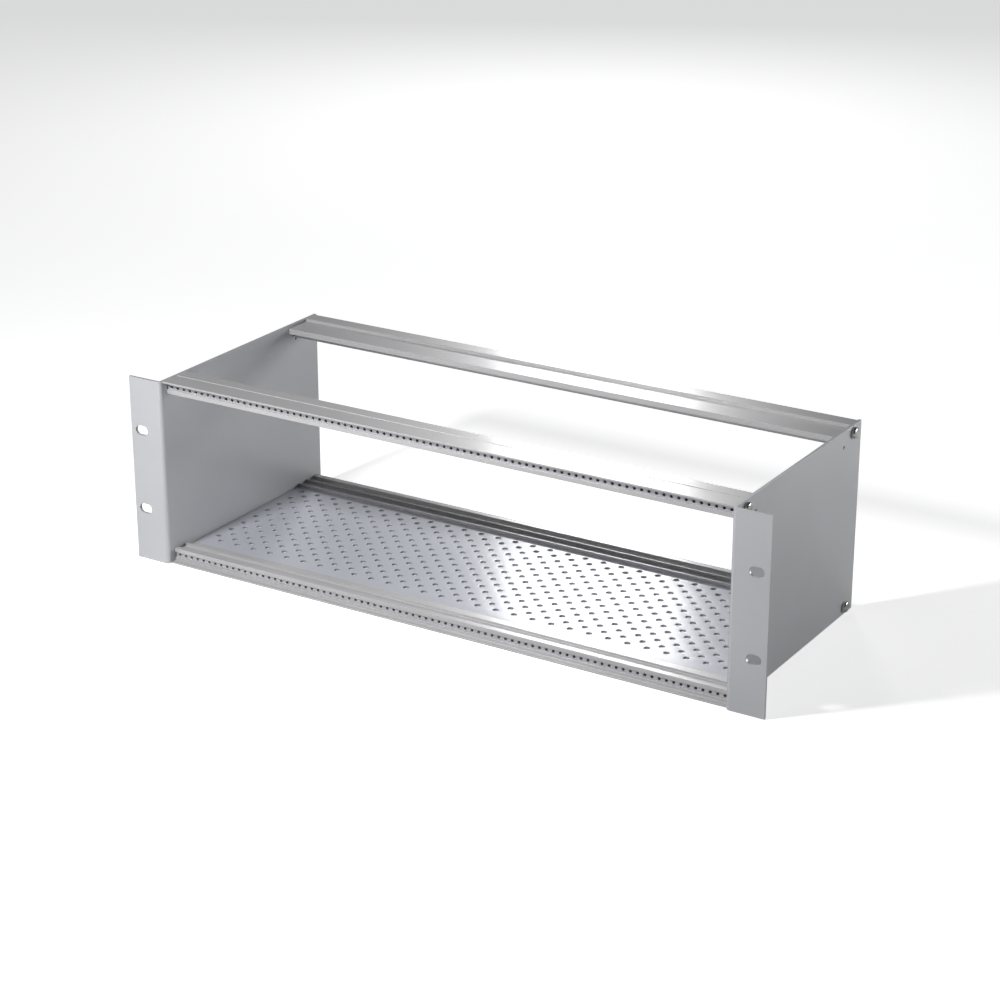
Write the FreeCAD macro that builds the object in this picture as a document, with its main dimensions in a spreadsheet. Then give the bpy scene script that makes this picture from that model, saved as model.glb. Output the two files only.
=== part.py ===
"""19-inch, 3U subrack: an open card frame of sheet metal and extruded aluminium.

Two folded side panels, whose front edges turn out into the rack ears, carry four
extruded cross rails. Each rail is held by one screw through each panel, driven into
the screw channel of its extrusion. The front rails hold a tapped strip in a T-slot,
for the front panels, and a perforated base plate lies on the ledges of the lower rails.

Frame: +X along the rack width, -Y the front, +Z up. The origin is the middle of the
footprint, on the plane that the subrack stands on. All sizes are in millimetres.
"""

import FreeCAD, Part
import os
import Sketcher

doc = FreeCAD.newDocument("subrack")

# ---------------------------------------------------------------------------
# Driving dimensions
# ---------------------------------------------------------------------------

SIZES = [
    # Overall frame
    ("rack_width", 482.6),        # over both ears
    ("unit_height", 132.5),       # height of a 3U front
    ("frame_depth", 180.4),       # ear front to panel rear edge
    ("bay_width", 429.2),         # clear width between the panels
    # Side panels and ears
    ("sheet", 2.0),               # sheet thickness
    ("fold_radius", 1.0),         # inside radius of the ear fold
    ("slot_span", 465.1),         # between rack slots, across
    ("slot_rise", 57.15),         # between rack slots, up
    ("slot_length", 10.3),
    ("slot_width", 6.8),
    ("pin_hole", 2.6),            # small fixing holes beside the rails
    ("pin_hole_drop", 11.2),      # their distance from the panel's edge
    ("pin_hole_front", 28.5),     # their distances behind the ear front
    ("pin_hole_rear", 154.5),
    # Rail screws
    ("screw_height", 5.3),        # screw line to the rail's outer face
    ("screw_thread", 3.5),        # thread at its pitch diameter
    ("screw_play", 0.1),          # thread in its channel
    ("panel_play", 0.4),          # screw in the panel's hole
    ("screw_reach", 12.0),        # thread length under the head
    ("head_size", 7.8),
    ("head_height", 2.6),
    ("head_crown", 5.4),          # flat top of the head
    ("head_edge", 1.2),           # straight part of the head's side
    # Section shared by all rails
    ("rail_rise", 9.7),           # full height of the section
    ("floor_rise", 7.5),          # level between the upper ribs
    ("slot_line", 5.0),           # middle of the T-slot
    ("slot_mouth", 3.4),          # opening of the T-slot
    ("slot_lip", 1.0),            # lips of the T-slot
    ("slot_room", 7.0),           # width inside the T-slot
    ("slot_deep", 2.0),           # depth behind the lips
    ("seat_level", 5.9),          # level that carries the plate
    # Front rails
    ("front_setback", 2.5),       # lip edge behind the ear front
    ("front_lip", 4.2),           # lip in front of the slotted face
    ("front_lip_thick", 1.1),
    ("front_depth", 25.2),        # without the ledge
    ("front_rim", 3.8),           # bar over the T-slot
    ("front_groove_deep", 1.7),
    ("front_rib", 2.1),           # rib behind the upper groove
    ("front_rib_back", 16.9),     # rear side of that rib
    ("front_tip_room", 2.8),      # room behind the strip for screw tips
    ("front_ledge", 5.3),         # ledge that carries the plate
    ("front_ledge_thick", 1.5),
    ("front_channel", 13.2),      # screw channel behind the lip edge
    ("front_wall", 1.5),          # walls of the hollow
    ("relief_start", 11.0),       # shallow groove in the outer face
    ("relief_width", 4.5),
    ("relief_deep", 0.3),
    # Rear rails
    ("rear_setback", 1.9),        # lip edge ahead of the panel's rear edge
    ("rear_lip", 3.7),
    ("rear_lip_thick", 1.1),
    ("rear_step", 11.1),          # outer face to the step
    ("rear_step_deep", 1.95),
    ("rear_block", 26.5),         # lip edge to the block's front
    ("rear_flange", 5.6),         # flange that carries the plate
    ("rear_fin", 1.0),            # thin upper ribs
    ("rear_fin_back", 15.9),      # rear side of the middle rib
    ("rear_wall_front", 8.3),     # front side of the slotted wall
    ("rear_channel", 9.9),        # screw channel behind the lip edge
    ("rear_wall", 1.5),           # walls of the hollow
    # Tapped strips
    ("strip_play", 0.2),          # strip in its slot, each side
    ("strip_thick", 1.8),
    ("strip_end_play", 0.5),      # strip end to the panel
    ("strip_hole", 2.2),          # side of the tapped hole's square
    ("strip_pitch", 5.08),
    ("strip_count", 84),
    # Base plate
    ("plate_thick", 1.5),
    ("plate_side_play", 0.3),
    ("plate_end_play", 0.3),
    ("perf_size", 3.72),          # side of the square with the hole's area
    ("perf_pitch", 14.1),         # between holes of a row
    ("perf_margin_side", 8.25),   # left edge to the first hole
    ("perf_margin_front", 10.9),  # front edge to the first row
    ("perf_columns", 30),
    ("perf_row_pairs", 8),
]

sizes = doc.addObject("Spreadsheet::Sheet", "Sizes")
for row, (alias, value) in enumerate(SIZES, start=1):
    sizes.set(f"A{row}", alias)
    sizes.set(f"B{row}", str(value))
    sizes.setAlias(f"B{row}", alias)
doc.recompute()


def size(formula):
    """Value of a formula written in the sheet's sizes."""
    return float(sizes.evalExpression(formula))


def bound(formula):
    """The same formula as another object has to write it."""
    words = formula.replace("(", " ( ").replace(")", " ) ").split()
    aliases = {alias for alias, _ in SIZES}
    return " ".join(f"Sizes.{word}" if word in aliases else word for word in words)


# ---------------------------------------------------------------------------
# Helpers for bodies and sketches
# ---------------------------------------------------------------------------

def new_body(label):
    body = doc.addObject("PartDesign::Body", label)
    body.Label = label
    return body


def new_sketch(body, name, plane):
    """A sketch on one of the body's own origin planes."""
    sketch = body.newObject("Sketcher::SketchObject", name)
    planes = {item.Role: item for item in body.Origin.OriginFeatures}
    sketch.AttachmentSupport = (planes[plane], "")
    sketch.MapMode = "FlatFace"
    return sketch


def hold(sketch, kind, geometry, point, formula):
    """Hold one coordinate of a sketch point at a formula."""
    index = sketch.addConstraint(
        Sketcher.Constraint(kind, -1, 1, geometry, point, size(formula)))
    sketch.setExpression(f"Constraints[{index}]", bound(formula))


def outline(sketch, corners):
    """A closed run of straight edges through corners given as pairs of formulas."""
    places = [FreeCAD.Vector(size(across), size(up), 0) for across, up in corners]
    first = sketch.GeometryCount
    count = len(places)
    for turn in range(count):
        line = Part.LineSegment(places[turn], places[(turn + 1) % count])
        sketch.addGeometry(line, False)
    for turn in range(count):
        following = (turn + 1) % count
        sketch.addConstraint(
            Sketcher.Constraint("Coincident", first + turn, 2, first + following, 1))
    for turn, (across, up) in enumerate(corners):
        hold(sketch, "DistanceX", first + turn, 1, across)
        hold(sketch, "DistanceY", first + turn, 1, up)


def ring(sketch, across, up, diameter):
    """A circle at a place given by two formulas."""
    centre = FreeCAD.Vector(size(across), size(up), 0)
    circle = Part.Circle(centre, FreeCAD.Vector(0, 0, 1), size(diameter) / 2)
    index = sketch.addGeometry(circle, False)
    hold(sketch, "DistanceX", index, 3, across)
    hold(sketch, "DistanceY", index, 3, up)
    width = sketch.addConstraint(Sketcher.Constraint("Diameter", index, size(diameter)))
    sketch.setExpression(f"Constraints[{width}]", bound(diameter))


def pad(body, sketch, length, centred=False):
    feature = body.newObject("PartDesign::Pad", f"{sketch.Name}_pad")
    feature.Profile = sketch
    feature.setExpression("Length", bound(length))
    feature.Midplane = centred
    return feature


def pocket(body, sketch, backwards=False):
    """A pocket right through the body, on the side that the sketch's normal gives."""
    feature = body.newObject("PartDesign::Pocket", f"{sketch.Name}_cut")
    feature.Profile = sketch
    feature.Type = "ThroughAll"
    feature.Reversed = backwards
    return feature


def turned(axis, angle, y, z):
    """A placement on the X = 0 plane, turned about one axis."""
    return FreeCAD.Placement(FreeCAD.Vector(0, y, z), FreeCAD.Rotation(axis, angle))


# ---------------------------------------------------------------------------
# Places that several pieces share
# ---------------------------------------------------------------------------

FRONT_RAIL_EDGE = "front_setback"
REAR_RAIL_EDGE = "frame_depth - rear_setback"
FRONT_SCREW_LINE = "front_setback + front_channel"
REAR_SCREW_LINE = "frame_depth - rear_setback - rear_channel"
SLOT_LOW = "slot_line - slot_mouth / 2"
SLOT_HIGH = "slot_line + slot_mouth / 2"
ROOM_LOW = "slot_line - slot_room / 2"
ROOM_HIGH = "slot_line + slot_room / 2"

EAR_FRONT = -size("frame_depth / 2")


# ---------------------------------------------------------------------------
# Side panels: one folded sheet each, side wall and rack ear
# ---------------------------------------------------------------------------

def rounded_slot(sketch, across, up):
    """A level slot with round ends about a centre given by two formulas."""
    reach = size("(slot_length - slot_width) / 2")
    radius = size("slot_width / 2")
    x, y = size(across), size(up)
    axis = FreeCAD.Vector(0, 0, 1)
    quarter = 1.5707963
    right = Part.Circle(FreeCAD.Vector(x + reach, y, 0), axis, radius)
    left = Part.Circle(FreeCAD.Vector(x - reach, y, 0), axis, radius)
    first = sketch.addGeometry(Part.ArcOfCircle(right, -quarter, quarter), False)
    sketch.addGeometry(
        Part.LineSegment(FreeCAD.Vector(x + reach, y + radius, 0),
                         FreeCAD.Vector(x - reach, y + radius, 0)), False)
    sketch.addGeometry(Part.ArcOfCircle(left, quarter, 3 * quarter), False)
    sketch.addGeometry(
        Part.LineSegment(FreeCAD.Vector(x - reach, y - radius, 0),
                         FreeCAD.Vector(x + reach, y - radius, 0)), False)
    for turn in range(4):
        sketch.addConstraint(
            Sketcher.Constraint("Tangent", first + turn, 2, first + (turn + 1) % 4, 1))
    sketch.addConstraint(Sketcher.Constraint("Equal", first, first + 2))
    index = sketch.addConstraint(Sketcher.Constraint("Radius", first, radius))
    sketch.setExpression(f"Constraints[{index}]", bound("slot_width / 2"))
    hold(sketch, "DistanceX", first, 3, f"{across} + (slot_length - slot_width) / 2")
    hold(sketch, "DistanceY", first, 3, up)
    hold(sketch, "DistanceX", first + 2, 3, f"{across} - (slot_length - slot_width) / 2")
    hold(sketch, "DistanceY", first + 2, 3, up)


def upright_edge(feature, across, y):
    """Name of the upright edge of a feature's solid that stands at a place."""
    for number, edge in enumerate(feature.Shape.Edges, start=1):
        middle = edge.BoundBox.Center
        upright = edge.BoundBox.ZLength > edge.BoundBox.XLength + edge.BoundBox.YLength
        if upright and abs(middle.x - across) < 0.001 and abs(middle.y - y) < 0.001:
            return f"Edge{number}"
    raise RuntimeError("the fold's edge is missing")


def side_panel(label, side):
    """Side wall with its ear, on the side +1 (right) or -1 (left)."""
    body = new_body(label)

    section = new_sketch(body, f"{label}_section", "XY_Plane")
    inner = f"{side} * bay_width / 2"
    outer = f"{side} * (bay_width / 2 + sheet)"
    rim = f"{side} * rack_width / 2"
    outline(section, [
        (inner, "0"), (rim, "0"), (rim, "sheet"),
        (outer, "sheet"), (outer, "frame_depth"), (inner, "frame_depth")])
    pad(body, section, "unit_height")
    doc.recompute()

    folds = [
        ("outer_fold", size(inner), 0.0, "fold_radius + sheet"),
        ("inner_fold", size(outer), size("sheet"), "fold_radius")]
    for name, across, y, radius in folds:
        sharp = body.Tip
        edge = upright_edge(sharp, across, y)
        fold = body.newObject("PartDesign::Fillet", f"{label}_{name}")
        fold.Base = (sharp, [edge])
        fold.setExpression("Radius", bound(radius))
        doc.recompute()

    ear_slots = new_sketch(body, f"{label}_ear_slots", "XZ_Plane")
    for sign in ("-", "+"):
        rounded_slot(ear_slots, f"{side} * slot_span / 2",
                     f"unit_height / 2 {sign} slot_rise / 2")
    pocket(body, ear_slots)

    holes = new_sketch(body, f"{label}_holes", "YZ_Plane")
    for place in (FRONT_SCREW_LINE, REAR_SCREW_LINE):
        for height in ("screw_height", "unit_height - screw_height"):
            ring(holes, place, height, "screw_thread + panel_play")
    for place in ("pin_hole_front", "pin_hole_rear"):
        ring(holes, place, "unit_height - pin_hole_drop", "pin_hole")
    pocket(body, holes, backwards=side > 0)

    body.Placement = turned(FreeCAD.Vector(0, 0, 1), 0, EAR_FRONT, 0)
    return body


# ---------------------------------------------------------------------------
# Cross rails: extruded sections, drawn with the lip's edge and the outer face
# at zero, and set turned over for the upper rails and turned round for the rear
# ---------------------------------------------------------------------------

FRONT_SECTION = [
    ("0", "0"),
    # Outer face, with its shallow relief
    ("relief_start", "0"), ("relief_start", "relief_deep"),
    ("relief_start + relief_width", "relief_deep"), ("relief_start + relief_width", "0"),
    ("front_depth", "0"),
    # Ledge for the plate
    ("front_depth", "seat_level - front_ledge_thick"),
    ("front_depth + front_ledge", "seat_level - front_ledge_thick"),
    ("front_depth + front_ledge", "seat_level"), ("front_depth", "seat_level"),
    ("front_depth", "floor_rise"),
    # Inner side, with its rib and groove
    ("front_rib_back", "floor_rise"), ("front_rib_back", "rail_rise"),
    ("front_rib_back - front_rib", "rail_rise"),
    ("front_rib_back - front_rib", "rail_rise - front_groove_deep"),
    ("front_lip + front_rim", "rail_rise - front_groove_deep"),
    ("front_lip + front_rim", "rail_rise"),
    ("front_lip", "rail_rise"),
    # T-slot, with room for the screw tips behind the strip
    ("front_lip", SLOT_HIGH), ("front_lip + slot_lip", SLOT_HIGH),
    ("front_lip + slot_lip", ROOM_HIGH), ("front_lip + slot_lip + slot_deep", ROOM_HIGH),
    ("front_lip + slot_lip + slot_deep", SLOT_HIGH),
    ("front_lip + slot_lip + slot_deep + front_tip_room", SLOT_HIGH),
    ("front_lip + slot_lip + slot_deep + front_tip_room", SLOT_LOW),
    ("front_lip + slot_lip + slot_deep", SLOT_LOW),
    ("front_lip + slot_lip + slot_deep", ROOM_LOW), ("front_lip + slot_lip", ROOM_LOW),
    ("front_lip + slot_lip", SLOT_LOW), ("front_lip", SLOT_LOW),
    # Front lip
    ("front_lip", "front_lip_thick"), ("0", "front_lip_thick"),
]

FRONT_HOLLOW = [
    ("front_rib_back + front_wall", "front_wall"),
    ("front_depth - front_wall", "front_wall"),
    ("front_depth - front_wall", "floor_rise - front_wall"),
    ("front_rib_back + front_wall", "floor_rise - front_wall"),
]

REAR_SECTION = [
    ("0", "0"),
    # Outer face, with its step down to the flange for the plate
    ("rear_step", "0"), ("rear_step", "rear_step_deep"),
    ("rear_block + rear_flange", "rear_step_deep"),
    ("rear_block + rear_flange", "seat_level"), ("rear_block", "seat_level"),
    # Inner side, with its two thin ribs
    ("rear_block", "rail_rise"), ("rear_block - rear_fin", "rail_rise"),
    ("rear_block - rear_fin", "floor_rise"),
    ("rear_fin_back + rear_fin", "floor_rise"), ("rear_fin_back + rear_fin", "rail_rise"),
    ("rear_fin_back", "rail_rise"), ("rear_fin_back", "floor_rise"),
    ("rear_wall_front", "floor_rise"), ("rear_wall_front", "rail_rise"),
    ("rear_lip", "rail_rise"),
    # T-slot
    ("rear_lip", SLOT_HIGH), ("rear_lip + slot_lip", SLOT_HIGH),
    ("rear_lip + slot_lip", ROOM_HIGH), ("rear_lip + slot_lip + slot_deep", ROOM_HIGH),
    ("rear_lip + slot_lip + slot_deep", ROOM_LOW), ("rear_lip + slot_lip", ROOM_LOW),
    ("rear_lip + slot_lip", SLOT_LOW), ("rear_lip", SLOT_LOW),
    # Rear lip
    ("rear_lip", "rear_lip_thick"), ("0", "rear_lip_thick"),
]

REAR_HOLLOW = [
    ("rear_channel + screw_thread / 2 + rear_wall", "rear_step_deep + rear_wall"),
    ("rear_block - rear_wall", "rear_step_deep + rear_wall"),
    ("rear_block - rear_wall", "floor_rise - rear_wall"),
    ("rear_channel + screw_thread / 2 + rear_wall", "floor_rise - rear_wall"),
]


def rail(label, corners, hollow, channel, place):
    """One length of extrusion between the panels."""
    body = new_body(label)
    section = new_sketch(body, f"{label}_section", "YZ_Plane")
    outline(section, corners)
    outline(section, hollow)
    ring(section, channel, "screw_height", "screw_thread + screw_play")
    pad(body, section, "bay_width", centred=True)
    body.Placement = place
    return body


FRONT_EDGE = EAR_FRONT + size(FRONT_RAIL_EDGE)
REAR_EDGE = EAR_FRONT + size(REAR_RAIL_EDGE)
TOP = size("unit_height")

FRONT_BOTTOM = turned(FreeCAD.Vector(0, 0, 1), 0, FRONT_EDGE, 0)
FRONT_TOP = turned(FreeCAD.Vector(0, 1, 0), 180, FRONT_EDGE, TOP)
REAR_BOTTOM = turned(FreeCAD.Vector(0, 0, 1), 180, REAR_EDGE, 0)
REAR_TOP = turned(FreeCAD.Vector(1, 0, 0), 180, REAR_EDGE, TOP)


# ---------------------------------------------------------------------------
# Tapped strips, held in the T-slots of the front rails
# ---------------------------------------------------------------------------

def tapped_strip(label, place):
    """A flat strip with a row of tapped holes, drawn in its rail's own frame."""
    body = new_body(label)
    low = f"{ROOM_LOW} + strip_play"
    high = f"{ROOM_HIGH} - strip_play"
    back = "front_lip + slot_lip + strip_thick"

    section = new_sketch(body, f"{label}_section", "YZ_Plane")
    outline(section, [
        ("front_lip + slot_lip", low), (back, low),
        (back, high), ("front_lip + slot_lip", high)])
    pad(body, section, "bay_width - 2 * strip_end_play", centred=True)

    hole = new_sketch(body, f"{label}_hole", "XZ_Plane")
    start = "-1 * (strip_count - 1) * strip_pitch / 2"
    left, right = f"{start} - strip_hole / 2", f"{start} + strip_hole / 2"
    bottom, top = "slot_line - strip_hole / 2", "slot_line + strip_hole / 2"
    outline(hole, [(left, bottom), (right, bottom), (right, top), (left, top)])
    cut = pocket(body, hole)
    doc.recompute()

    row = body.newObject("PartDesign::LinearPattern", f"{label}_row")
    row.Originals = [cut]
    row.Refine = False
    row.Direction = (origin_axis(body, "X_Axis"), [""])
    row.setExpression("Length", bound("(strip_count - 1) * strip_pitch"))
    row.setExpression("Occurrences", bound("strip_count"))
    body.Tip = row
    body.Placement = place
    return body


def origin_axis(body, role):
    """One of the body's own origin axes."""
    return next(item for item in body.Origin.OriginFeatures if item.Role == role)


# ---------------------------------------------------------------------------
# Base plate, with its staggered perforation
# ---------------------------------------------------------------------------

def base_plate():
    """Flat sheet on the lower rails; its local corner is the front left one."""
    body = new_body("base_plate")
    width = "bay_width - 2 * plate_side_play"
    depth = ("frame_depth - front_setback - front_depth - rear_setback"
             " - rear_block - 2 * plate_end_play")

    blank = new_sketch(body, "base_plate_blank", "XY_Plane")
    outline(blank, [("0", "0"), (width, "0"), (width, depth), ("0", depth)])
    pad(body, blank, "plate_thick")

    # Holes of two neighbouring rows, half a pitch apart both ways
    pair = new_sketch(body, "base_plate_holes", "XY_Plane")
    reach = "perf_size * 0.70710678"
    near = ("perf_margin_side + perf_pitch / 2", "perf_margin_front")
    far = ("perf_margin_side", "perf_margin_front + perf_pitch / 2")
    for across, back in (near, far):
        outline(pair, [
            (f"{across} - {reach}", back), (across, f"{back} - {reach}"),
            (f"{across} + {reach}", back), (across, f"{back} + {reach}")])
    cut = pocket(body, pair, backwards=True)
    doc.recompute()

    grid = body.newObject("PartDesign::LinearPattern", "base_plate_perforation")
    grid.Originals = [cut]
    grid.Refine = False
    grid.Direction = (origin_axis(body, "X_Axis"), [""])
    grid.setExpression("Length", bound("(perf_columns - 1) * perf_pitch"))
    grid.setExpression("Occurrences", bound("perf_columns"))
    grid.Direction2 = (origin_axis(body, "Y_Axis"), [""])
    grid.setExpression("Length2", bound("(perf_row_pairs - 1) * perf_pitch"))
    grid.setExpression("Occurrences2", bound("perf_row_pairs"))
    body.Tip = grid

    corner = FreeCAD.Vector(
        size("plate_side_play - bay_width / 2"),
        FRONT_EDGE + size("front_depth + plate_end_play"),
        size("seat_level"))
    body.Placement = FreeCAD.Placement(corner, FreeCAD.Rotation())
    return body


# ---------------------------------------------------------------------------
# Rail screws
# ---------------------------------------------------------------------------

def prism(name, sides, radius, height):
    """A few-sided round bar along its own Z axis."""
    bar = doc.addObject("Part::Prism", name)
    bar.Polygon = sides
    bar.setExpression("Circumradius", bound(radius))
    bar.setExpression("Height", bound(height))
    return bar


def rail_screw(label, side, line, height):
    """Screw through a panel into a rail's channel, its head on the panel."""
    head = prism(f"{label}_head", 12, "head_size / 2", "head_height")
    shank = prism(f"{label}_thread", 12, "screw_thread / 2", "head_height + screw_reach")
    screw = doc.addObject("Part::Fuse", label)
    screw.Label = label
    screw.Base = head
    screw.Tool = shank
    place = FreeCAD.Vector(
        side * size("bay_width / 2 + sheet + head_height"),
        EAR_FRONT + size(line),
        size(height))
    screw.Placement = FreeCAD.Placement(
        place, FreeCAD.Rotation(FreeCAD.Vector(0, 1, 0), -90 * side))
    return screw


# ---------------------------------------------------------------------------
# Assembly
# ---------------------------------------------------------------------------

parts = [
    side_panel("left_side_panel", -1),
    side_panel("right_side_panel", 1),
    rail("front_bottom_rail", FRONT_SECTION, FRONT_HOLLOW, "front_channel", FRONT_BOTTOM),
    rail("front_top_rail", FRONT_SECTION, FRONT_HOLLOW, "front_channel", FRONT_TOP),
    rail("rear_bottom_rail", REAR_SECTION, REAR_HOLLOW, "rear_channel", REAR_BOTTOM),
    rail("rear_top_rail", REAR_SECTION, REAR_HOLLOW, "rear_channel", REAR_TOP),
    tapped_strip("front_bottom_strip", FRONT_BOTTOM),
    tapped_strip("front_top_strip", FRONT_TOP),
    base_plate(),
]

SCREW_LINES = {"front": FRONT_SCREW_LINE, "rear": REAR_SCREW_LINE}
SCREW_HEIGHTS = {"bottom": "screw_height", "top": "unit_height - screw_height"}
for side_name, side in (("left", -1), ("right", 1)):
    for end, line in SCREW_LINES.items():
        for level, height in SCREW_HEIGHTS.items():
            parts.append(rail_screw(f"{end}_{level}_{side_name}_screw", side, line, height))

doc.recompute()

# ---------------------------------------------------------------------------
# Checks and export
# ---------------------------------------------------------------------------

for item in doc.Objects:
    if "Invalid" in item.State or "Error" in item.State:
        raise RuntimeError(f"{item.Label} did not build")

for part in parts:
    if part.Shape.isNull() or not part.Shape.isValid() or not part.Shape.Solids:
        raise RuntimeError(f"{part.Label} has no valid solid")

os.makedirs("parts", exist_ok=True)
for part in parts:
    part.Shape.exportStep(f"parts/{part.Label}.step")
    box = part.Shape.BoundBox
    print(f"{part.Label}: {len(part.Shape.Solids)} solid, {part.Shape.Volume:.1f} mm3, "
          f"x {box.XMin:.2f} {box.XMax:.2f}, y {box.YMin:.2f} {box.YMax:.2f}, "
          f"z {box.ZMin:.2f} {box.ZMax:.2f}")
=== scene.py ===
"""Dress of the 19-inch subrack: satin anodised sheet and extrusions, plated strips and screws."""

import math

import bmesh
import bpy
from bpy.props import FloatProperty, IntProperty, StringProperty
from mathutils import Matrix, Vector


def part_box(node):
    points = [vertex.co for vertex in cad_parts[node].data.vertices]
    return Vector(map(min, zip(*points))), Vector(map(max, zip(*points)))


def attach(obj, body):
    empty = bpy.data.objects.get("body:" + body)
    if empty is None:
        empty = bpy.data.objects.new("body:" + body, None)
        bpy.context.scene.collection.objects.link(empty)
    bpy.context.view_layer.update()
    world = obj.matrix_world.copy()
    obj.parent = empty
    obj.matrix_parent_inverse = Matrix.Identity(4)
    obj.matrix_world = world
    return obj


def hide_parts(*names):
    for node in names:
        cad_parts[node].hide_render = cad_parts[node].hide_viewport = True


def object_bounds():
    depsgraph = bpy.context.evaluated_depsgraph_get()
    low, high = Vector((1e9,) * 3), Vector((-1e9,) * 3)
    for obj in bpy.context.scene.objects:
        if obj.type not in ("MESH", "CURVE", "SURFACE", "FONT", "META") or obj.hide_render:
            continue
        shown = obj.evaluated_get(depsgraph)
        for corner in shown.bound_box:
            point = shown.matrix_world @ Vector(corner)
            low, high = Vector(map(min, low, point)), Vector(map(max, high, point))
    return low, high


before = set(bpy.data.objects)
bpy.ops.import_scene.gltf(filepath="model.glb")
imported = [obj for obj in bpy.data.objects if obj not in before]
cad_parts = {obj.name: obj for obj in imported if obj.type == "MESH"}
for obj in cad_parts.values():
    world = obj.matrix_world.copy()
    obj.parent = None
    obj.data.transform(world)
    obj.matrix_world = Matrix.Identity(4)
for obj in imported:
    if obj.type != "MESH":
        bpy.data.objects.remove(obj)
CAD_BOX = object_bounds()

bl_info = {
    "name": "Subrack dress",
    "version": (1, 0, 0),
    "blender": (4, 5, 0),
    "location": "View3D > Sidebar > Subrack",
    "description": "Adds the finish, round holes, edges and screws of a 19-inch subrack",
    "category": "Object",
}

MM = 0.001
BODY = "root"
RAILS = ("front_bottom_rail", "front_top_rail", "rear_bottom_rail", "rear_top_rail")
PANELS = ("left_side_panel", "right_side_panel")
STRIPS = ("front_bottom_strip", "front_top_strip")
SCREWS = tuple(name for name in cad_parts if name.endswith("_screw"))


# ---------------------------------------------------------------------------
# Settings
# ---------------------------------------------------------------------------

class SUBRACK_PG_sheet(bpy.types.PropertyGroup):
    """Sizes of the perforated plate and the tapped strips."""

    hole: FloatProperty(
        name="Plate hole", description="Diameter of the plate's round holes",
        default=4.2 * MM, subtype="DISTANCE")
    pitch: FloatProperty(
        name="Plate pitch", description="Distance between the holes of one row",
        default=14.1 * MM, subtype="DISTANCE")
    margin_side: FloatProperty(
        name="Side margin", description="Plate's left edge to the first hole",
        default=8.25 * MM, subtype="DISTANCE")
    margin_front: FloatProperty(
        name="Front margin", description="Plate's front edge to the first row",
        default=10.9 * MM, subtype="DISTANCE")
    columns: IntProperty(
        name="Columns", description="Holes in one row of the plate", default=30)
    row_pairs: IntProperty(
        name="Row pairs", description="Pairs of staggered rows", default=8)
    tapped_hole: FloatProperty(
        name="Tapped hole", description="Diameter of the strips' tapped holes",
        default=2.05 * MM, subtype="DISTANCE")
    tapped_pitch: FloatProperty(
        name="Strip pitch", description="Distance between the strips' holes",
        default=5.08 * MM, subtype="DISTANCE")
    tapped_count: IntProperty(
        name="Strip holes", description="Tapped holes in one strip", default=84)
    edge: FloatProperty(
        name="Edge radius", description="Rounding of the sheet and extrusion edges",
        default=0.25 * MM, subtype="DISTANCE")


class SUBRACK_PG_finish(bpy.types.PropertyGroup):
    """Colours of the finishes, as sRGB hex values."""

    sheet: StringProperty(
        name="Anodised sheet", description="Clear anodised sheet", default="#B9BABD")
    extrusion: StringProperty(
        name="Anodised extrusion", description="Clear anodised extrusion", default="#B6B5B6")
    plate: StringProperty(
        name="Perforated plate", description="Clear anodised plate", default="#BCBEC6")
    zinc: StringProperty(
        name="Zinc plating", description="Plated strips", default="#B4B4B8")
    nickel: StringProperty(
        name="Nickel plating", description="Bright screws", default="#D2D0CC")
    floor: StringProperty(
        name="Floor", description="Pale studio floor", default="#F2F2F2")


def linear(text):
    """sRGB hex colour as linear RGBA."""
    values = [int(text[start:start + 2], 16) / 255 for start in (1, 3, 5)]
    curve = [v / 12.92 if v <= 0.04045 else ((v + 0.055) / 1.055) ** 2.4 for v in values]
    return (*curve, 1.0)


# ---------------------------------------------------------------------------
# Materials
# ---------------------------------------------------------------------------

NOISE_LOW, NOISE_HIGH = 0.3, 0.7   # most of a noise texture's values lie between these
CLOUD_SCALE = 14.0                 # broad changes of tone, per metre
POLISH_SWING = 0.04                # the grain's change of roughness, up and down
GRAIN_HEIGHT = 0.02 * MM
SEAL_WEIGHT, SEAL_ROUGHNESS = 0.4, 0.16   # clear sealed layer over the finish


def add(tree, kind, links=(), **settings):
    """Adds a node, sets its inputs and properties by name and links its inputs."""
    node = tree.nodes.new(kind)
    for name, value in settings.items():
        setattr(node, name, value)
    for socket, source in links:
        if isinstance(source, bpy.types.NodeSocket):
            tree.links.new(source, node.inputs[socket])
        else:
            node.inputs[socket].default_value = source
    return node


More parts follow.
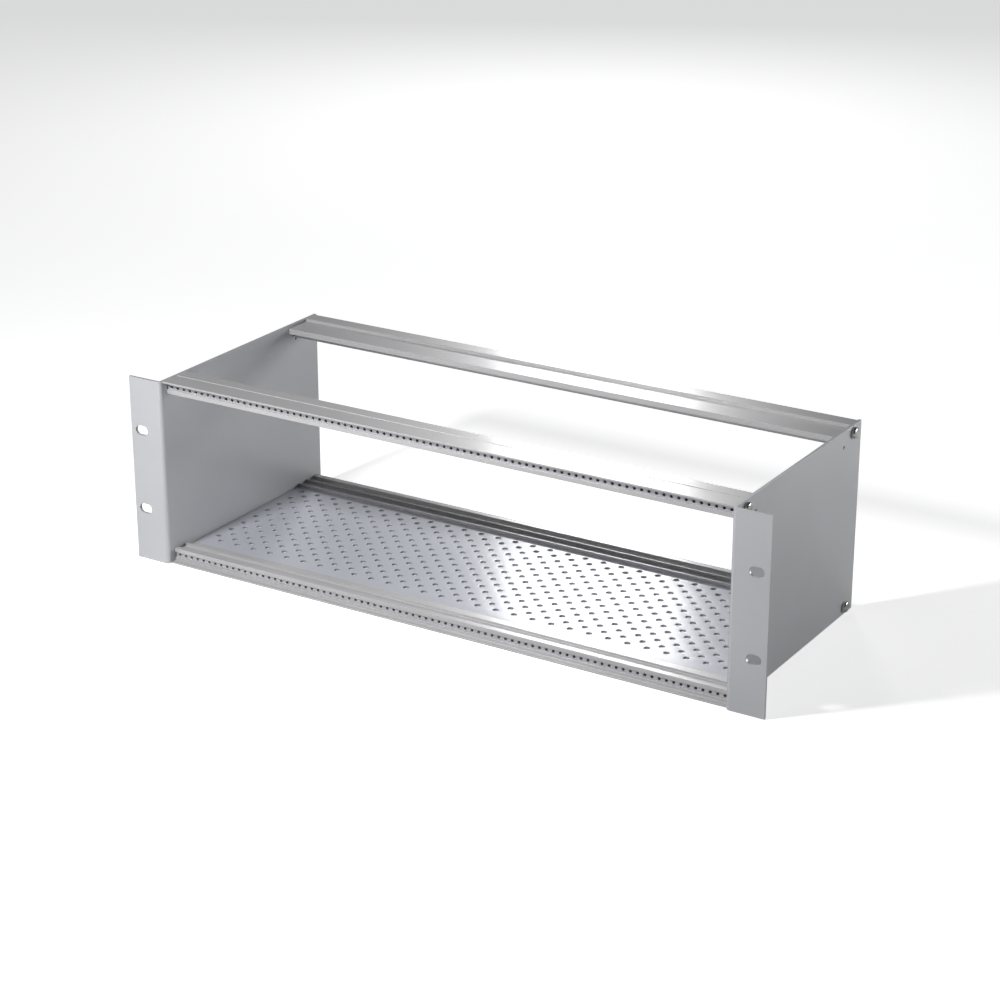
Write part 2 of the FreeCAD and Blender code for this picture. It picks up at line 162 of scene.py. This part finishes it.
def metal(name, colour, rough, grain_mm, stretch, grain_depth, shine=0.35, tint=0.03):
    """A metal finish whose grain runs along X when stretched.

    grain_mm is the spacing of the grain, stretch how much longer it is along X, shine
    the share of bare metal, and tint how far the tone wanders either way.
    """
    material = bpy.data.materials.new(name)
    material.use_nodes = True
    tree = material.node_tree
    tree.nodes.clear()
    place = add(tree, "ShaderNodeTexCoord")
    scale = 1.0 / (grain_mm * MM)
    along = add(tree, "ShaderNodeMapping", [
        ("Vector", place.outputs["Object"]),
        ("Scale", (scale / stretch, scale, scale))])
    grain = add(tree, "ShaderNodeTexNoise", [
        ("Vector", along.outputs["Vector"]), ("Scale", 1.0), ("Detail", 4.0),
        ("Roughness", 0.6)])
    cloud = add(tree, "ShaderNodeTexNoise", [
        ("Vector", place.outputs["Object"]), ("Scale", CLOUD_SCALE), ("Detail", 3.0)])
    shade = add(tree, "ShaderNodeMapRange", [
        ("Value", cloud.outputs["Fac"]), ("From Min", NOISE_LOW), ("From Max", NOISE_HIGH),
        ("To Min", 1.0 - tint), ("To Max", 1.0 + tint)])
    tone = add(tree, "ShaderNodeVectorMath", [
        (0, linear(colour)[:3]), (3, shade.outputs["Result"])], operation="SCALE")
    polish = add(tree, "ShaderNodeMapRange", [
        ("Value", grain.outputs["Fac"]), ("From Min", NOISE_LOW), ("From Max", NOISE_HIGH),
        ("To Min", rough - POLISH_SWING), ("To Max", rough + POLISH_SWING)])
    relief = add(tree, "ShaderNodeBump", [
        ("Height", grain.outputs["Fac"]), ("Strength", grain_depth),
        ("Distance", GRAIN_HEIGHT)])
    surface = add(tree, "ShaderNodeBsdfPrincipled", [
        ("Base Color", tone.outputs["Vector"]), ("Metallic", shine),
        ("Roughness", polish.outputs["Result"]), ("Normal", relief.outputs["Normal"]),
        ("Coat Weight", SEAL_WEIGHT), ("Coat Roughness", SEAL_ROUGHNESS)])
    add(tree, "ShaderNodeOutputMaterial", [("Surface", surface.outputs["BSDF"])])
    return material


def finishes():
    """All finishes, by the record's material slot."""
    colours = bpy.context.scene.subrack_finish
    return {
        # Etched before anodising, so it scatters light evenly with a fine grit
        "folded_sheet": metal("satin anodised sheet", colours.sheet, 0.45, 0.6, 1.0, 0.15),
        # Drawn through a die, so fine lines run along the rail
        "rail_extrusion": metal(
            "drawn anodised extrusion", colours.extrusion, 0.42, 0.35, 40.0, 0.2),
        "perforated_sheet": metal(
            "punched anodised sheet", colours.plate, 0.50, 0.6, 1.0, 0.12),
        # Dull electroplated steel
        "strip_steel": metal("zinc plated strip", colours.zinc, 0.42, 0.5, 6.0, 0.2),
        # Bright plating, with small sharp reflections
        "screw_steel": metal(
            "nickel plated screw", colours.nickel, 0.2, 0.5, 1.0, 0.05, shine=1.0),
    }


made_finishes = {}


def finish_for(slot):
    """The finish of a slot, made once."""
    if not made_finishes:
        made_finishes.update(finishes())
    return made_finishes[slot]


# ---------------------------------------------------------------------------
# Mesh helpers
# ---------------------------------------------------------------------------

WELD = 0.001 * MM                  # corners nearer than this are one corner
FLAT = math.radians(1.0)           # faces that meet at less than this are one face


def piece(name, bm, node, slot):
    """Object from a finished bmesh, standing for a node of the frame."""
    mesh = bpy.data.meshes.new(name)
    bm.to_mesh(mesh)
    bm.free()
    obj = bpy.data.objects.new(name, mesh)
    bpy.context.scene.collection.objects.link(obj)
    mesh.materials.append(finish_for(slot))
    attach(obj, BODY)
    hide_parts(node)
    return obj


def soften(obj, width, angle=30.0, segments=2):
    """Small rounded edges on a piece, by a modifier."""
    bevel = obj.modifiers.new("edges", "BEVEL")
    bevel.width = width
    bevel.segments = segments
    bevel.limit_method = "ANGLE"
    bevel.angle_limit = math.radians(angle)
    for face in obj.data.polygons:
        face.use_smooth = True
    even = obj.modifiers.new("flat faces", "WEIGHTED_NORMAL")
    even.weight = 100
    even.keep_sharp = True
    return obj


def rounded_copy(node, name, slot, width):
    """A node's own form, with its sharp edges taken off."""
    bm = bmesh.new()
    bm.from_mesh(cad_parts[node].data)
    bmesh.ops.remove_doubles(bm, verts=bm.verts, dist=WELD)
    bmesh.ops.dissolve_limit(bm, angle_limit=FLAT, verts=bm.verts, edges=bm.edges)
    return soften(piece(name, bm, node, slot), width)


def pierced_sheet(width, depth, thickness, holes, radius, sides):
    """A level sheet from the origin's corner, with round holes at the given places."""
    bm = bmesh.new()
    middle = Matrix.Translation((width / 2, depth / 2, 0))
    bmesh.ops.create_grid(
        bm, x_segments=1, y_segments=1, size=0.5,
        matrix=middle @ Matrix.Diagonal((width, depth, 1, 1)))
    bmesh.ops.delete(bm, geom=bm.faces[:], context="FACES_ONLY")
    for x, y in holes:
        bmesh.ops.create_circle(
            bm, cap_ends=False, radius=radius, segments=sides,
            matrix=Matrix.Translation((x, y, 0)))
    bmesh.ops.triangle_fill(bm, use_beauty=True, edges=bm.edges[:], normal=(0, 0, 1))
    raised = bmesh.ops.extrude_face_region(bm, geom=bm.faces[:])
    tops = [item for item in raised["geom"] if isinstance(item, bmesh.types.BMVert)]
    bmesh.ops.translate(bm, verts=tops, vec=(0, 0, thickness))
    bmesh.ops.recalc_face_normals(bm, faces=bm.faces[:])
    return bm


# ---------------------------------------------------------------------------
# Pieces
# ---------------------------------------------------------------------------

# Edge radii as shares of the folded sheet's
RAIL_EDGE, PLATE_EDGE, STRIP_EDGE = 0.6, 0.4, 0.5

PLATE_HOLE_SIDES = 16
TAPPED_HOLE_SIDES = 14

HEAD_HEIGHT = 2.6 * MM
HEAD_CROWN = 0.62                  # flat top, as a share of the head's radius
HEAD_SHOULDER = 0.45               # straight side, as a share of the head's height
HEAD_ARC = 6                       # steps of a quarter turn from side to crown
HEAD_SIDES = 32
THREAD_RADIUS = 1.72 * MM
THREAD_SIDES = 24
SCREW_EDGE = 0.1 * MM


class SUBRACK_OT_side_panels(bpy.types.Operator):
    """Folded side panels with their rack ears"""

    bl_idname = "subrack.side_panels"
    bl_label = "Side panels"

    def execute(self, context):
        edge = context.scene.subrack_sheet.edge
        for node in PANELS:
            rounded_copy(node, f"{node}_sheet", "folded_sheet", edge)
        return {"FINISHED"}


class SUBRACK_OT_rails(bpy.types.Operator):
    """Extruded cross rails"""

    bl_idname = "subrack.rails"
    bl_label = "Cross rails"

    def execute(self, context):
        edge = context.scene.subrack_sheet.edge
        for node in RAILS:
            rounded_copy(node, f"{node}_extrusion", "rail_extrusion", edge * RAIL_EDGE)
        return {"FINISHED"}


class SUBRACK_OT_base_plate(bpy.types.Operator):
    """Perforated base plate"""

    bl_idname = "subrack.base_plate"
    bl_label = "Base plate"

    def execute(self, context):
        sizes = context.scene.subrack_sheet
        low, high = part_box("base_plate")
        span = high - low
        half = sizes.pitch / 2
        holes = []
        for column in range(sizes.columns):
            for pair in range(sizes.row_pairs):
                x = sizes.margin_side + column * sizes.pitch
                y = sizes.margin_front + pair * sizes.pitch
                holes.append((x + half, y))
                holes.append((x, y + half))
        bm = pierced_sheet(
            span.x, span.y, span.z, holes, sizes.hole / 2, PLATE_HOLE_SIDES)
        bmesh.ops.translate(bm, verts=bm.verts, vec=low)
        obj = piece("perforated_base_plate", bm, "base_plate", "perforated_sheet")
        soften(obj, sizes.edge * PLATE_EDGE, segments=1)
        return {"FINISHED"}


class SUBRACK_OT_strips(bpy.types.Operator):
    """Tapped strips in the T-slots of the front rails"""

    bl_idname = "subrack.strips"
    bl_label = "Tapped strips"

    def execute(self, context):
        sizes = context.scene.subrack_sheet
        for node in STRIPS:
            low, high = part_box(node)
            span = high - low
            row = (sizes.tapped_count - 1) * sizes.tapped_pitch
            start = (span.x - row) / 2
            # The hole line lies on the T-slot's middle, as the strip does
            holes = [(start + turn * sizes.tapped_pitch, span.z / 2)
                     for turn in range(sizes.tapped_count)]
            bm = pierced_sheet(
                span.x, span.z, span.y, holes, sizes.tapped_hole / 2, TAPPED_HOLE_SIDES)
            upright = Matrix.Rotation(math.pi / 2, 3, "X")
            bmesh.ops.rotate(bm, verts=bm.verts, cent=(0, 0, 0), matrix=upright)
            bmesh.ops.translate(bm, verts=bm.verts, vec=(low.x, high.y, low.z))
            obj = piece(f"{node}_tapped", bm, node, "strip_steel")
            soften(obj, sizes.edge * STRIP_EDGE, segments=1)
        return {"FINISHED"}


def screw_head(bm, radius, height):
    """Pan head about the Z axis, its seat at zero and its crown on top."""
    crown = HEAD_CROWN * radius
    shoulder = HEAD_SHOULDER * height
    profile = [(0, 0), (radius, 0), (radius, shoulder)]
    for turn in range(1, HEAD_ARC):
        angle = turn * math.pi / 2 / HEAD_ARC
        profile.append((
            crown + (radius - crown) * math.cos(angle),
            shoulder + (height - shoulder) * math.sin(angle)))
    profile.append((crown, height))
    profile.append((0, height))
    points = [bm.verts.new((x, 0, z)) for x, z in profile]
    edges = [bm.edges.new(pair) for pair in zip(points, points[1:])]
    bmesh.ops.spin(
        bm, geom=points + edges, cent=(0, 0, 0), axis=(0, 0, 1), dvec=(0, 0, 0),
        angle=2 * math.pi, steps=HEAD_SIDES, use_merge=True)


class SUBRACK_OT_screws(bpy.types.Operator):
    """Pan head screws through the panels into the rails"""

    bl_idname = "subrack.screws"
    bl_label = "Rail screws"

    def execute(self, context):
        for node in SCREWS:
            low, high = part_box(node)
            centre = (low + high) / 2
            radius = (high.y - low.y) / 2
            side = 1 if centre.x > 0 else -1
            tip = high.x if side > 0 else -low.x
            seat = tip - HEAD_HEIGHT
            reach = (high.x - low.x) - HEAD_HEIGHT
            bm = bmesh.new()
            screw_head(bm, radius, HEAD_HEIGHT)
            bmesh.ops.create_cone(
                bm, cap_ends=True, segments=THREAD_SIDES, radius1=THREAD_RADIUS,
                radius2=THREAD_RADIUS, depth=reach,
                matrix=Matrix.Translation((0, 0, -reach / 2)))
            bmesh.ops.remove_doubles(bm, verts=bm.verts, dist=WELD)
            bmesh.ops.recalc_face_normals(bm, faces=bm.faces[:])
            turn = Matrix.Rotation(side * math.pi / 2, 4, "Y")
            place = Matrix.Translation((side * seat, centre.y, centre.z))
            bmesh.ops.transform(bm, verts=bm.verts, matrix=place @ turn)
            obj = piece(f"{node}_turned", bm, node, "screw_steel")
            soften(obj, SCREW_EDGE, angle=45.0)
        return {"FINISHED"}


# ---------------------------------------------------------------------------
# Stage: floor, light and camera
# ---------------------------------------------------------------------------

# Name, place in metres, width and watts of each lamp
LAMPS = (
    ("key", (-0.26, -0.58, 0.546), 0.10, 6.3),
    ("back", (-0.75, 1.45, 0.78), 0.25, 4.1),
    ("side", (1.1, 0.9, 0.25), 0.4, 8.2),
)
LAMP_TARGET = (0, 0, 0.06)
ROOM_GLOW = 0.12
ROOM_COLOUR = "#C9CCD2"

FLOOR_SIZE = 6.0
FLOOR_GAP = 0.2 * MM               # floor below the part's lowest faces
FLOOR_GLOW = 0.62                  # lifts the floor that the camera sees towards white

CAMERA_PLACE = (0.82931, -1.34433, 0.68785)
CAMERA_TILT = math.radians(68.385)
CAMERA_TURN = math.radians(31.725)
CAMERA_LENS = 91.49


def lamp(name, place, target, size, power):
    """A soft square lamp at a place, aimed at a target."""
    data = bpy.data.lights.new(name, "AREA")
    data.shape = "SQUARE"
    data.size = size
    data.energy = power
    obj = bpy.data.objects.new(name, data)
    bpy.context.scene.collection.objects.link(obj)
    obj.location = place
    aim = Vector(target) - Vector(place)
    obj.rotation_euler = aim.to_track_quat("-Z", "Y").to_euler()
    return obj


class SUBRACK_OT_stage(bpy.types.Operator):
    """Pale floor, soft studio light and the camera"""

    bl_idname = "subrack.stage"
    bl_label = "Stage"

    def execute(self, context):
        scene = context.scene
        scene.view_settings.view_transform = "Standard"
        self.floor(scene)
        self.world(scene)
        self.lamps()
        self.camera(scene)
        return {"FINISHED"}

    def seen(self, tree):
        """1 for the rays that show the background itself."""
        rays = add(tree, "ShaderNodeLightPath")
        both = add(tree, "ShaderNodeMath", [
            (0, rays.outputs["Is Camera Ray"]), (1, rays.outputs["Is Transmission Ray"])],
            operation="MAXIMUM")
        return both.outputs["Value"]

    def floor(self, scene):
        bm = bmesh.new()
        bmesh.ops.create_grid(bm, x_segments=1, y_segments=1, size=FLOOR_SIZE)
        mesh = bpy.data.meshes.new("floor")
        bm.to_mesh(mesh)
        bm.free()
        mesh.transform(Matrix.Translation((0, 0, CAD_BOX[0][2] - FLOOR_GAP)))
        floor = bpy.data.objects.new("floor", mesh)
        scene.collection.objects.link(floor)
        material = bpy.data.materials.new("pale studio floor")
        material.use_nodes = True
        tree = material.node_tree
        tree.nodes.clear()
        direct = self.seen(tree)
        paint = add(tree, "ShaderNodeBsdfDiffuse", [
            ("Color", linear(scene.subrack_finish.floor))])
        glow = add(tree, "ShaderNodeEmission", [
            ("Color", (1, 1, 1, 1)), ("Strength", FLOOR_GLOW)])
        dark = add(tree, "ShaderNodeEmission", [("Strength", 0.0)])
        fill = add(tree, "ShaderNodeMixShader", [
            ("Fac", direct), (1, dark.outputs["Emission"]), (2, glow.outputs["Emission"])])
        both = add(tree, "ShaderNodeAddShader", [
            (0, paint.outputs["BSDF"]), (1, fill.outputs["Shader"])])
        add(tree, "ShaderNodeOutputMaterial", [("Surface", both.outputs["Shader"])])
        mesh.materials.append(material)

    def world(self, scene):
        world = bpy.data.worlds.new("studio")
        world.use_nodes = True
        tree = world.node_tree
        tree.nodes.clear()
        direct = self.seen(tree)
        room = add(tree, "ShaderNodeBackground", [
            ("Color", linear(ROOM_COLOUR)), ("Strength", ROOM_GLOW)])
        white = add(tree, "ShaderNodeBackground", [
            ("Color", (1, 1, 1, 1)), ("Strength", 1.0)])
        shown = add(tree, "ShaderNodeMixShader", [
            ("Fac", direct), (1, room.outputs["Background"]), (2, white.outputs["Background"])])
        add(tree, "ShaderNodeOutputWorld", [("Surface", shown.outputs["Shader"])])
        scene.world = world

    def lamps(self):
        for name, place, size, power in LAMPS:
            lamp(name, place, LAMP_TARGET, size, power)

    def camera(self, scene):
        data = bpy.data.cameras.new("camera")
        data.sensor_width = 36.0
        data.lens = CAMERA_LENS
        camera = bpy.data.objects.new("camera", data)
        scene.collection.objects.link(camera)
        camera.location = CAMERA_PLACE
        camera.rotation_euler = (CAMERA_TILT, 0, CAMERA_TURN)
        scene.camera = camera


class SUBRACK_PT_panel(bpy.types.Panel):
    """Lists the pieces of the subrack"""

    bl_idname = "SUBRACK_PT_panel"
    bl_label = "Subrack"
    bl_space_type = "VIEW_3D"
    bl_region_type = "UI"
    bl_category = "Subrack"

    def draw(self, context):
        for group in (context.scene.subrack_sheet, context.scene.subrack_finish):
            for name in group.bl_rna.properties.keys():
                if name not in {"rna_type", "name"}:
                    self.layout.prop(group, name)
        for operator in OPERATORS:
            self.layout.operator(operator.bl_idname)


OPERATORS = (
    SUBRACK_OT_side_panels, SUBRACK_OT_rails, SUBRACK_OT_base_plate,
    SUBRACK_OT_strips, SUBRACK_OT_screws, SUBRACK_OT_stage)
CLASSES = (SUBRACK_PG_sheet, SUBRACK_PG_finish) + OPERATORS + (SUBRACK_PT_panel,)


def register():
    for item in CLASSES:
        bpy.utils.register_class(item)
    bpy.types.Scene.subrack_sheet = bpy.props.PointerProperty(type=SUBRACK_PG_sheet)
    bpy.types.Scene.subrack_finish = bpy.props.PointerProperty(type=SUBRACK_PG_finish)


def unregister():
    del bpy.types.Scene.subrack_finish
    del bpy.types.Scene.subrack_sheet
    for item in reversed(CLASSES):
        bpy.utils.unregister_class(item)


def main():
    register()
    bpy.ops.subrack.side_panels()
    bpy.ops.subrack.rails()
    bpy.ops.subrack.base_plate()
    bpy.ops.subrack.strips()
    bpy.ops.subrack.screws()
    bpy.ops.subrack.stage()


if __name__ == "__main__":
    main()
